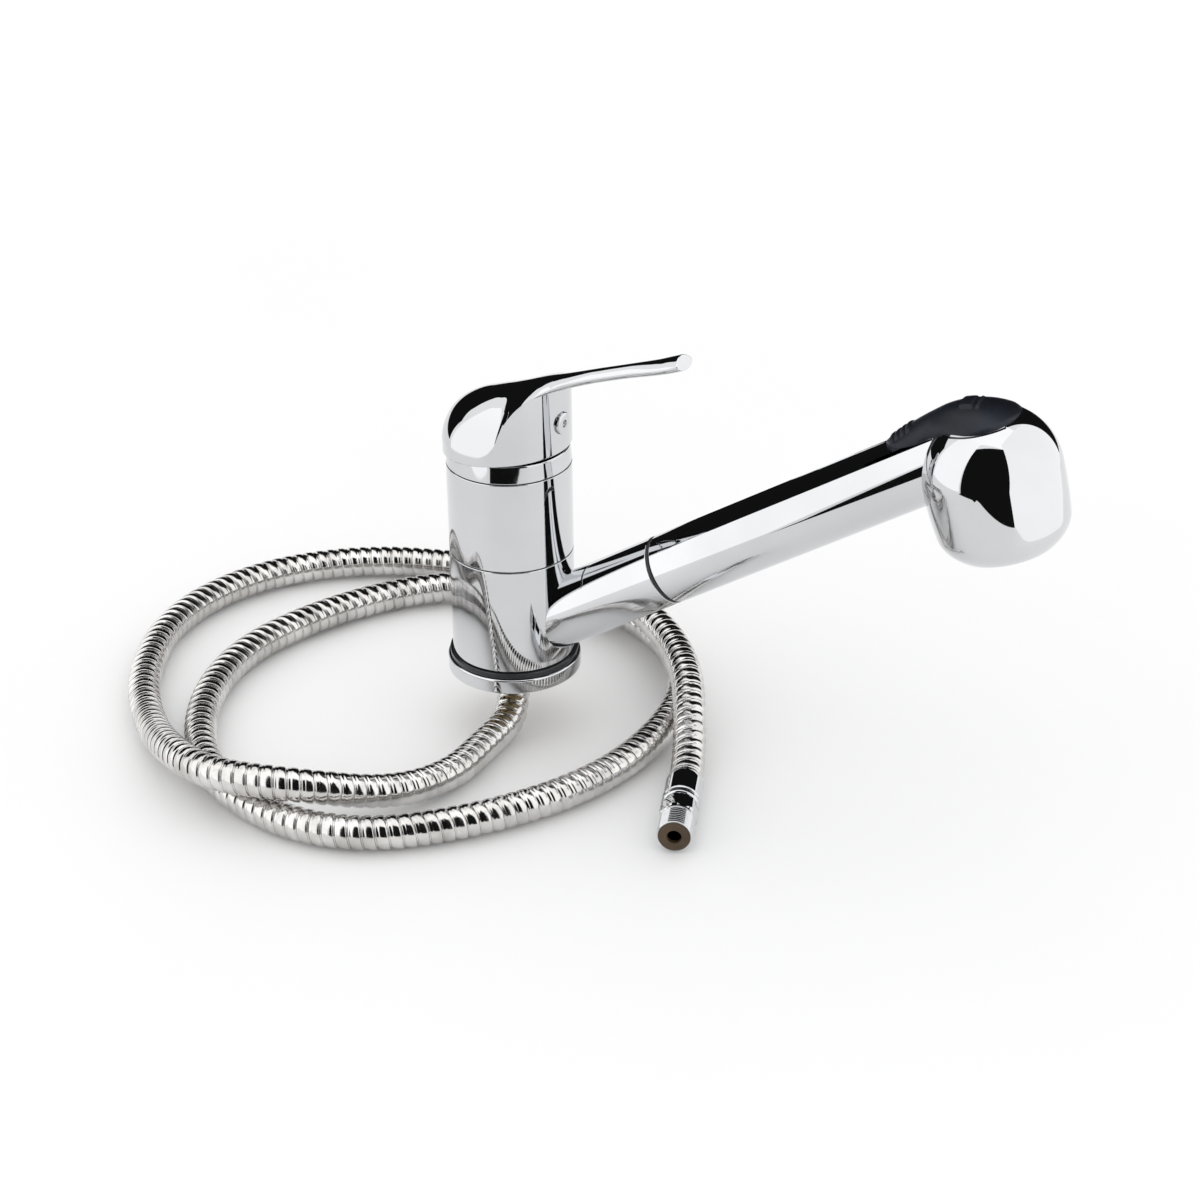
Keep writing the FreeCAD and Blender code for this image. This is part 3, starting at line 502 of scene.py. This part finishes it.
def wound_tube(line, pitch, section, around=36):
    """A tube along a line whose wall is one strip wound in a helix.

    section lists (share of the pitch, radius) across one turn of the strip.
    """
    steps = np.linalg.norm(np.diff(line, axis=0), axis=1)
    along = np.concatenate([[0], np.cumsum(steps)])
    length = along[-1]
    tangents = np.gradient(line, along, axis=0)
    tangents /= np.linalg.norm(tangents, axis=1, keepdims=True)
    side = np.cross(tangents[0], [0.0, 1.0, 0.0] if abs(tangents[0][1]) < 0.9 else [1.0, 0.0, 0.0])
    sides = []
    for tangent in tangents:
        side = side - tangent * (side @ tangent)
        side = side / np.linalg.norm(side)
        sides.append(side)
    sides = np.array(sides)
    turns = int(math.ceil(length / pitch)) + 1
    share = np.array([s for s, _ in section])
    radius = np.array([r for _, r in section])
    helix = np.arange(turns * around + 1)
    place = ((helix[:, None] / around - 1 + share[None, :]) * pitch).clip(0, length)
    angle = 2 * math.pi * (helix % around) / around
    centre = np.stack([np.interp(place, along, line[:, k]) for k in range(3)], axis=2)
    ahead = np.stack([np.interp(place, along, tangents[:, k]) for k in range(3)], axis=2)
    first = np.stack([np.interp(place, along, sides[:, k]) for k in range(3)], axis=2)
    ahead /= np.linalg.norm(ahead, axis=2, keepdims=True)
    first -= ahead * (first * ahead).sum(axis=2, keepdims=True)
    first /= np.linalg.norm(first, axis=2, keepdims=True)
    second = np.cross(ahead, first)
    outward = first * np.cos(angle)[:, None, None] + second * np.sin(angle)[:, None, None]
    points = centre + outward * radius[None, :, None]
    parts = len(section)
    index = np.arange(points.shape[0] * parts).reshape(-1, parts)
    faces = []
    for j in range(len(helix) - 1):
        for i in range(parts):
            if i < parts - 1:
                faces.append([index[j, i], index[j + 1, i], index[j + 1, i + 1], index[j, i + 1]])
            elif j + around + 1 < len(helix):
                faces.append([index[j, i], index[j + 1, i], index[j + 1 + around, 0], index[j + around, 0]])
    return tidy_surface(points.reshape(-1, 3), faces)


STRIP = [(0.00, 5.95), (0.05, 5.95), (0.07, 6.35), (0.10, 6.58), (0.16, 6.68), (0.28, 6.72), (0.44, 6.71),
         (0.58, 6.66), (0.66, 6.54), (0.70, 6.38), (0.78, 6.36), (0.87, 6.33), (0.92, 6.22), (0.95, 6.0)]

line = hose_line()
hose = show("spray_hose", wound_tube(line, STRIP_PITCH, STRIP), "fixed", "hose_steel", "hose_free")


# ---------------------------------------------------------------- end fitting

end = Vector(HOSE_ROUTE[-1]) / MM
heading = end - Vector(HOSE_ROUTE[-2]) / MM
heading.z = 0
FITTING = Matrix.Translation(end) @ heading.to_track_quat("Z", "Y").to_matrix().to_4x4()

ferrule = show("end_ferrule", revolve(outline([
    (4.5, 0), (6.75, 0), (7.6, 2.6, 1.5), (7.6, 15.2, 0.3), (7.25, 15.7, 0.3), (7.25, 16.6, 0.3),
    (7.6, 17.1, 0.3), (7.6, 18.6, 0.4), (7.0, 19.2), (4.5, 19.2)]), FITTING, 96),
    "fixed", "chrome", "hose_ferrule")


NUT_FLAT = 6.75
NUT_SPAN = (19.4, 27.7)
NUT_TURN = 14
THREAD_START = 29.1
THREAD_PITCH = 1.25
THREAD_TURNS = 8


def tail_piece():
    """Nut and thread as one turned bar, with the nut cut to a hexagon."""
    corners = [(4.5, 19.2), (6.9, 19.2), (7.6, 20.2, 0.2), (7.6, 26.9, 0.2), (6.6, 27.6, 0.3),
               (6.2, 27.8, 0.2), (6.2, 28.6, 0.2), (6.4, 29.0, 0.1)]
    for turn in range(THREAD_TURNS):
        low = THREAD_START + turn * THREAD_PITCH
        corners += [(6.9, low + 0.35, 0.12), (6.9, low + 0.65, 0.12), (6.42, low + 1.0, 0.12)]
    corners += [(6.8, 39.4, 0.2), (6.5, 39.8, 0.15), (6.25, 39.8, 0.1), (6.25, 38, 0.05), (4.5, 38)]
    profile = outline(corners, 0.1)
    rows = []
    for angle in range(NUT_TURN, NUT_TURN + 360, 3):
        from_flat = (angle - NUT_TURN + 30) % 60 - 30
        limit = NUT_FLAT / math.cos(math.radians(from_flat))
        a = math.radians(angle)
        row = []
        for radius, height, *_ in profile:
            if NUT_SPAN[0] < height < NUT_SPAN[1]:
                radius = min(radius, limit)
            row.append((radius * math.cos(a), radius * math.sin(a), height))
        rows.append(placed(row, FITTING))
    piece = bpy.data.objects.new("end_tail", lattice(rows, close_rows=True, flat=True).mesh("end_tail"))
    piece.data.set_sharp_from_angle(angle=math.radians(22))
    return piece


tail = dress(tail_piece(), "fixed", "chrome", "hose_tail")
seal = show("end_seal", revolve(outline([(2.8, 38, 0.2), (6.2, 38, 0.2), (6.2, 40.2, 0.5), (5.5, 40.2, 0.2),
                                         (5.3, 40.6, 0.2), (3.3, 40.6, 0.2), (2.8, 40.2, 0.2)]),
                                FITTING, 96), "fixed", "brown_rubber", "hose_end_seal")


# ---------------------------------------------------------------- body

show("base_ring", revolve(outline([
    (21.5, 0), (23.2, 0), (23.2, 1.6), (25.6, 1.6), (25.6, 0),
    (27.1, 0, 0.5), (27.1, 6.1, 0.9), (21.5, 6.1)])),
    "fixed", "chrome", "base_flange")
show("turning_ring", revolve(outline([(21.6, 6.12), (26.2, 6.12, 0.5), (26.2, 8.45, 0.5), (21.6, 8.45)])),
     "fixed", "black_nylon", "slide_ring")

lower_sleeve = solid_of_revolution([(0, 8.8), (BODY_RADIUS, 8.8, 0.35), (BODY_RADIUS, SEAM, 0.35), (0, SEAM)])
spout = carve("spout_body", lower_sleeve, [
    ("UNION", solid_of_revolution([(0, 6), (TUBE_RADIUS, 6), (TUBE_RADIUS, SPOUT_END, 0.3), (0, SPOUT_END)],
                                  SPOUT)),
    ("DIFFERENCE", rod(22.6, -10, 80)),
    ("DIFFERENCE", rod(11.6, 15, 120, SPOUT)),
    ("DIFFERENCE", rod(12.6, 55, 120, SPOUT)),
])
dress(spout, "swivel", "chrome", "swivel_spout")

show("upper_body", revolve(outline([
    (22.6, SEAM + 0.4), (BODY_RADIUS, SEAM + 0.4, 0.35),
    (BODY_RADIUS, SLEEVE_TOP, 0.35), (22.6, SLEEVE_TOP)])),
    "fixed", "chrome", "upper_sleeve")
show("collar", revolve(outline([
    (22.6, 92.1), (24.98, 92.1, 0.35), (24.36, 99.4, 0.8), (16.2, 99.4),
    (16.2, 97.4), (22.6, 97.4)])), "fixed", "chrome", "trim_collar")
show("spout_seal", revolve(outline([
    (12.7, SPOUT_END + 0.05, 0.3), (13.88, SPOUT_END + 0.05, 0.5), (13.88, SPOUT_END + 1.3, 0.5),
    (12.7, SPOUT_END + 1.3, 0.3)]), SPOUT), "swivel", "black_rubber", "o_ring")


# ---------------------------------------------------------------- lever

# Heights of the hood's crest, edge and underside, half its width, and how its roof curves, from the
# back of the hub to the tip of the blade.
hood_top = smooth([(-26.1, 103), (-25.4, 107.4), (-23.5, 111.3), (-20, 115.2), (-13.3, 119.2), (-6, 121.9),
                   (3, 125.1), (14.6, 129.5), (29.8, 134.9), (42.4, 139.5), (56.1, 144.3), (69, 148.9),
                   (74, 151.0), (78.2, 152.7)])
hood_edge = smooth([(-26.1, 103), (2, 103), (6, 104.6), (9, 108.5), (11, 114.0), (13.4, 118.8), (16.5, 123.4),
                    (19.6, 126.5), (22.5, 128.6), (29.8, 132), (42.4, 136.7), (56.1, 141.5), (69, 145.8),
                    (74, 147.9), (78.2, 150.1)])
hood_under = smooth([(-26.1, 102.8), (6, 102), (16.5, 120), (21.6, 125.6), (29.8, 129.0), (42.4, 133.9),
                     (56.1, 138.7), (69, 142.9), (74, 145.0), (78.2, 147.3)])
blade_half = smooth([(9, 23.52), (11, 22.65), (13.4, 21.4), (16.5, 19.1), (19.6, 15.9), (21.6, 13.2),
                     (25.5, 8.6), (29.8, 6.2), (36, 4.7), (42.4, 4.0), (56.1, 3.9), (69, 4.9), (74, 5.3),
                     (78.2, 5.5)])
hood_roof = smooth([(-26.1, 0.62), (-8, 0.72), (6, 0.9), (12, 1.0), (90, 1.0)])
TIP_START = 66.0
TIP_END = 78.2
TIP_SLANT = 0.5
TIP_ROUND = 0.35
BLADE_START = 9
HUB_FRONT = 25.8
SKIRT_HEIGHT = 98.8
SKIRT_TILT = 5.0
PLUG_HEIGHT = 112.9


def hub_radius(angle):
    """The hub is a little larger behind than in front."""
    share = np.clip((np.abs(angle) - math.radians(60)) / math.radians(50), 0, 1)
    return HUB_RADIUS + (DOME_RADIUS - HUB_RADIUS) * share ** 2 * (3 - 2 * share)


def hood_half(x):
    """Half the hood's width: the hub's circle at the back, the blade's outline in front."""
    if x >= BLADE_START:
        return float(blade_half(x))
    angle = math.acos(max(-1.0, min(1.0, x / HUB_FRONT)))
    radius = hub_radius(angle)
    return math.sqrt(max(radius ** 2 - x ** 2, 0.0)) + 0.02


def hood_height(x, y):
    """Top of the hood at a place, in millimetres."""
    share = min(abs(y) / max(hood_half(x), 1e-6), 1.0)
    return hood_edge(x) + (hood_top(x) - hood_edge(x)) * (1 - share ** 2) ** hood_roof(x)


def hood_surface():
    """The hood and the blade as one closed skin, in rings across its length."""
    turn = math.pi * (1 - np.cos(np.linspace(0, math.pi, 57))) / 2
    back = -DOME_RADIUS + 35 * (1 - np.cos(np.linspace(0, math.pi / 2, 60)))
    rounding = TIP_END - TIP_ROUND + TIP_ROUND * np.sin(np.linspace(0, math.pi / 2, 7))
    places = [*back, *np.linspace(9.3, 26, 56), *np.linspace(26.6, TIP_END - 0.8, 66), *rounding]
    rows = []
    for x in places:
        half = hood_half(x)
        edge, under, crest = float(hood_edge(x)), float(hood_under(x)), float(hood_top(x))
        short = min(max(x - TIP_END + TIP_ROUND, 0.0) / TIP_ROUND, 1.0)
        shrink = 0.92 + 0.08 * math.sqrt(1 - short ** 2)
        slant = TIP_SLANT * float(np.clip((x - TIP_START) / (TIP_END - TIP_START), 0, 1)) ** 2
        ring = []
        for t in turn:
            y = half * shrink * math.cos(t)
            ring.append((x, y, edge + (hood_height(x, y / shrink) - edge) * shrink))
        for t in turn[1:-1][::-1]:
            y = half * shrink * math.cos(t)
            ring.append((x, y, edge - (edge - under) * shrink * math.sin(t) ** 0.8))
        rows.append([(px + slant * (crest - pz), py, pz) for px, py, pz in ring])
    made = lattice(np.array(rows)[:, ::-1])
    return Surface(placed(made.points, LEVER), made.faces)


def hub_surface():
    """Upright wall under the hood, closed inside it and cut off by the tilted skirt plane."""
    angles = np.linspace(-math.pi, math.pi, ROUND, endpoint=False)
    tilt = math.tan(math.radians(SKIRT_TILT))

    def ring(share, height):
        spots = [(hub_radius(a) * share * math.cos(a), hub_radius(a) * share * math.sin(a)) for a in angles]
        return [(x, y, height(x, y)) for x, y in spots]

    def skirt(lift):
        return lambda x, y: SKIRT_HEIGHT + lift + tilt * x

    def under_hood(share):
        return lambda x, y: float(hood_edge(x)) + share * (float(hood_height(x, y)) - float(hood_edge(x)))

    rims = [[(0, 0, SKIRT_HEIGHT)] * ROUND]
    foot = ((0.92, 0.0), (0.992, 0.0), (0.998, 0.06), (1.0, 0.3), (1.0, 0.6), (1.0, 1.2))
    rims += [ring(share, skirt(lift)) for share, lift in foot]
    rims += [ring(1.0, lambda x, y: float(hood_edge(x)) - 0.3), ring(1.0, under_hood(0.0))]
    rims += [ring(share, under_hood(0.5)) for share in (0.98, 0.9, 0.5, 0.0)]
    made = lattice(rims, caps=False)
    return Surface(placed(made.points, LEVER), made.faces)


PLUG = LEVER @ Matrix.Translation((0, 0, PLUG_HEIGHT)) @ Matrix.Rotation(math.radians(90), 4, "Y")
cavity = solid_of_revolution([(0, 80), (24.5, 80), (24.5, 103, 4), (20, 112, 6), (0, 117)])
lever = carve("lever_arm", hood_surface(), [
    ("UNION", hub_surface()),
    ("DIFFERENCE", cavity),
    ("DIFFERENCE", rod(4.2, 23.4, 40, PLUG, 96)),
])
dress(lever, "lever_body", "chrome", "lever")
show("lever_plug", solid_of_revolution([
    (0, 22.4), (3.95, 22.4), (3.95, 25.0), (4.5, 25.3, 0.1), (4.5, 26.1, 0.5), (3.0, 26.5, 0.6),
    (1.5, 26.4, 0.1), (1.3, 25.6, 0.1), (0, 25.6)], PLUG, 0.2, 96),
     "lever_body", "chrome", "screw_plug")


# ---------------------------------------------------------------- handset

TUBE_OVERLAP = 221

# The button's half outline as (along, across), and its crest as (along, height, radius across).
BUTTON_START = 190.3
BUTTON_LENGTH = 52.3
BUTTON_EDGE = [(190.3, 0.0), (192.4, 4.2), (197.0, 7.6), (204.0, 8.6), (211.0, 8.8), (217.6, 11.2),
               (221.2, 14.0), (226.5, 16.0), (232.0, 15.3), (237.6, 12.0), (241.0, 6.8), (242.6, 0.0)]
BUTTON_HUMP = [(184.0, 11.5, 10.0), (190.0, 14.3, 10.5), (196.0, 15.7, 10.5), (203.0, 17.0, 9.8),
               (211.0, 17.9, 10.0), (217.5, 18.2, 13.4), (222.0, 17.7, 17.0), (227.0, 16.4, 19.8),
               (232.0, 14.2, 21.0), (237.0, 10.6, 22.0), (242.0, 5.4, 22.0), (247.0, -3.0, 22.0)]
BUTTON_RIM = 1.0
MARK_HEIGHT = 0.9
RIB_HEIGHT = 0.7
RIBS = (193.4, 196.0, 198.6, 201.2)


def button_ring(margin, count=160):
    """The button's closed outline as (along, across) points, grown by a margin."""
    tail_end, *sides, tip = BUTTON_EDGE
    points = [(tail_end[0] - margin, 0.0)] + [(s, h + margin) for s, h in sides] + [(tip[0] + margin, 0.0)]
    points += [(s, -h - margin) for s, h in reversed(sides)]
    data = np.array(points)
    total = len(data)
    ring = []
    for i in range(total):
        a, b, c, d = (data[(i + k) % total] for k in (-1, 0, 1, 2))
        for t in np.linspace(0, 1, count // total + 1, endpoint=False):
            ring.append(0.5 * (2 * b + (c - a) * t + (2 * a - 5 * b + 4 * c - d) * t ** 2
                               + (3 * b - a - 3 * c + d) * t ** 3))
    return np.array(ring)


def bell(inset):
    """Outline of the head from its crown to the middle of its foot."""
    radius, crown, drop = HEAD_RADIUS - inset, HEAD_CROWN - inset, HEAD_DROP - inset
    rows = [(radius * math.sin(t), crown * math.cos(t)) for t in np.linspace(0, math.pi / 2, 40)]
    for points in (((radius, 0), (radius - 0.3, 0.5 * (9.5 - drop)), (radius - 1.2, 9.5 - drop)),
                   ((radius - 1.2, 9.5 - drop), (radius - 3.3, 4.5 - drop), (radius - 7.9, -drop))):
        a, b, c = (np.array(p, float) for p in points)
        for t in np.linspace(0, 1, 15)[1:]:
            control = 2 * b - 0.5 * (a + c)
            rows.append(tuple((1 - t) ** 2 * a + 2 * t * (1 - t) * control + t ** 2 * c))
    foot = rows[-1][0]
    rows += [(foot - 0.6, -drop), (foot * 0.5, -drop), (0, -drop)]
    return rows


def bell_surface(inset):
    """The head's skin, or its hollow when it is set in."""
    angles = np.linspace(0, 2 * math.pi, ROUND, endpoint=False)
    rows = [np.stack([r * np.cos(angles), r * np.sin(angles), np.full(ROUND, z)], axis=1)
            for r, z in reversed(bell(inset))]
    made = lattice(rows, caps=False)
    return Surface(placed(made.points, HEAD), made.faces)


def upright(ring, low, high):
    """A block over an outline of (along, across), from one height above the tube's axis to another."""
    rows = [[(-height, across, along) for along, across in ring] for height in (low, high)]
    return lattice([placed(row, SPOUT) for row in rows], flat=True)


tube_part = solid_of_revolution([(0, HANDSET_START), (TUBE_RADIUS, HANDSET_START, 0.3),
                                 (TUBE_RADIUS, TUBE_OVERLAP), (0, TUBE_OVERLAP)], SPOUT)
head_part = bell_surface(0)
handset = carve("handset_body", tube_part, [
    ("UNION", head_part),
    ("DIFFERENCE", rod(11.8, 84, 217, SPOUT)),
    ("DIFFERENCE", rod(9.7, 75, 95, SPOUT)),
    ("DIFFERENCE", bell_surface(2.4)),
    ("DIFFERENCE", upright(button_ring(0.3), 4, 40)),
    ("DIFFERENCE", rod(17.9, -40, -26, HEAD)),
])
dress(handset, "handset", "chrome", "handset_shell")


def skin_height(trees, along, across):
    """Height of the chrome under a place on the button."""
    start = SPOUT @ Vector((-60, across, along))
    down = (SPOUT.to_3x3() @ Vector((1, 0, 0))).normalized()
    best = -60.0
    for tree in trees:
        spot, _, _, distance = tree.ray_cast(start, down)
        if spot is not None:
            best = max(best, 60.0 - distance)
    return best


def button_surface():
    """Soft button: crowned top with a rounded rim, ridges at its tail and a raised mark on its crown."""
    ring = button_ring(0.0, 480)
    side = ring[ring[:, 1] >= -1e-6]
    order = np.argsort(side[:, 0])
    side = side[order]
    top = smooth([(s, n) for s, n, _ in BUTTON_HUMP])
    cross = smooth([(s, r) for s, _, r in BUTTON_HUMP])
    trees = [search_tree(part) for part in (tube_part, head_part)]
    stations = BUTTON_START + BUTTON_LENGTH * (1 - np.cos(np.linspace(0.03, math.pi - 0.03, 260))) / 2
    shares = np.sin(np.linspace(-math.pi / 2, math.pi / 2, 91))
    rows = []
    for along in stations:
        half = float(np.interp(along, side[:, 0], side[:, 1]))
        crest, radius = float(top(along)), float(cross(along))
        upper, lower = [], []
        for share in shares:
            across = half * share
            height = crest - radius + math.sqrt(max(radius ** 2 - across ** 2, 0.0))
            gap = float(np.sqrt(((ring - (along, across)) ** 2).sum(axis=1)).min())
            under = skin_height(trees, along, across)
            if gap < BUTTON_RIM:
                height -= BUTTON_RIM - math.sqrt(BUTTON_RIM ** 2 - (BUTTON_RIM - gap) ** 2)
            height = max(height, under - 0.4)
            height += mark(along, across)
            upper.append((-height, across, along))
            lower.append((-(min(under, height) - 1.3), across, along))
        rows.append(upper + lower[::-1])
    return lattice([placed(row, SPOUT) for row in rows])


def step(value, edge, width):
    """Rises smoothly from 0 to 1 at an edge."""
    return 1 / (1 + math.exp(-(value - edge) / width))


def bump_between(value, low, high, width=0.1):
    """1 between two edges and 0 outside them, with soft flanks."""
    return step(value, low, width) * step(-value, -high, width)


def mark(along, across):
    """Raised details on the button: a block and a bar on its crown, ribs at its tail."""
    crown = bump_between(along, 224.8, 229.4) + bump_between(along, 230.6, 231.5)
    ribs = sum(bump_between(along, place, place + 1.2) for place in RIBS)
    middle = bump_between(across, -5.0, 5.0)
    return MARK_HEIGHT * crown * middle + RIB_HEIGHT * ribs * middle


show("spray_button", button_surface(), "rocker", "soft_black", "button_pad")


# ---------------------------------------------------------------- spray face

show("aerator_ring", revolve(outline([
    (6.6, -HEAD_DROP - 0.3, 0.3), (6.6, -HEAD_DROP + 8.5), (9.4, -HEAD_DROP + 8.5),
    (9.4, -HEAD_DROP - 0.3, 0.5), (8.6, -HEAD_DROP - 0.35, 0.3)][::-1]), HEAD, 96), "handset", "chrome",
    "aerator")


# ---------------------------------------------------------------- surroundings

GROUND_SIZE = 12.0
CARD_LIFT = 0.0006
BLACK = 0.008
LEFT_LIGHT = 1.45
RIGHT_LIGHT = 1.3
TOP_LIGHT = 1.5
WORLD_LIGHT = 1.15


def plane(name, corners):
    """A flat face of the stage, which is not part of the object."""
    data = bpy.data.meshes.new(name)
    data.from_pydata(corners, [], [list(range(len(corners)))])
    made = bpy.data.objects.new(name, data)
    bpy.context.collection.objects.link(made)
    return made


def ground():
    """A pale matt surface that the hose lies on."""
    made = Shader("ground", (0.9, 0.9, 0.9), 0.65)
    made.colours(made.noise(3.0), [(0.3, (0.885, 0.885, 0.885)), (0.7, (0.90, 0.90, 0.90))])
    made.main.inputs["Specular IOR Level"].default_value = 0.2
    size = GROUND_SIZE
    z = FLOOR * MM
    floor = plane("ground", [(-size, -size, z), (size, -size, z), (size, size, z), (-size, size, z)])
    floor.data.materials.append(made.material)


def card(name, corners, level):
    """A studio card, black or bright, that is seen only in reflections."""
    material = bpy.data.materials.new(name)
    material.use_nodes = True
    nodes = material.node_tree.nodes
    nodes.clear()
    glow = nodes.new("ShaderNodeEmission")
    glow.inputs["Color"].default_value = (level, level, level, 1)
    output = nodes.new("ShaderNodeOutputMaterial")
    material.node_tree.links.new(glow.outputs[0], output.inputs["Surface"])
    made = plane(name, corners)
    made.data.materials.append(material)
    made.visible_camera = False
    made.visible_diffuse = False
    made.visible_shadow = False
    made.visible_transmission = False


def upright_card(name, start, stop, low, high, level):
    """A card that stands on the line between two places."""
    (x0, y0), (x1, y1) = start, stop
    card(name, [(x0, y0, low), (x1, y1, low), (x1, y1, high), (x0, y0, high)], level)


def surroundings():
    """Even light from all round, and the cards that polished metal reflects."""
    world = bpy.data.worlds.new("studio")
    bpy.context.scene.world = world
    world.use_nodes = True
    background = world.node_tree.nodes["Background"]
    background.inputs["Color"].default_value = (1.0, 1.0, 1.0, 1)
    background.inputs["Strength"].default_value = WORLD_LIGHT
    bpy.context.scene.view_settings.view_transform = "Standard"
    base = FLOOR * MM + CARD_LIFT
    card("card_front", [(-0.06, -0.42, base), (0.47, -0.30, base),
                        (0.47, -0.30, 0.86), (-0.10, -0.43, 0.86)], BLACK)
    card("card_low", [(-0.05, -0.36, base), (0.14, -0.335, base),
                      (0.16, -0.37, base), (-0.06, -0.42, base)], BLACK)
    card("card_back", [(-0.60, 0.62, 0.10), (0.47, 0.62, 0.03),
                       (0.47, 0.62, 1.9), (-0.60, 0.62, 0.9)], BLACK)
    card("card_left", [(-0.60, 0.0, 0.10), (-0.60, 0.62, 0.10),
                       (-0.60, 0.62, 0.9), (-0.60, 0.0, 0.42)], BLACK)
    upright_card("light_left", (-0.62, -0.06), (-0.10, -0.435), base, 1.2, LEFT_LIGHT)
    upright_card("light_right", (0.475, -0.31), (0.62, 1.0), base, 1.2, RIGHT_LIGHT)
    card("light_top", [(-0.5, -0.45, 1.25), (0.8, -0.45, 1.25),
                       (0.8, 0.4, 1.25), (-0.5, 0.4, 1.25)], TOP_LIGHT)


ground()
surroundings()
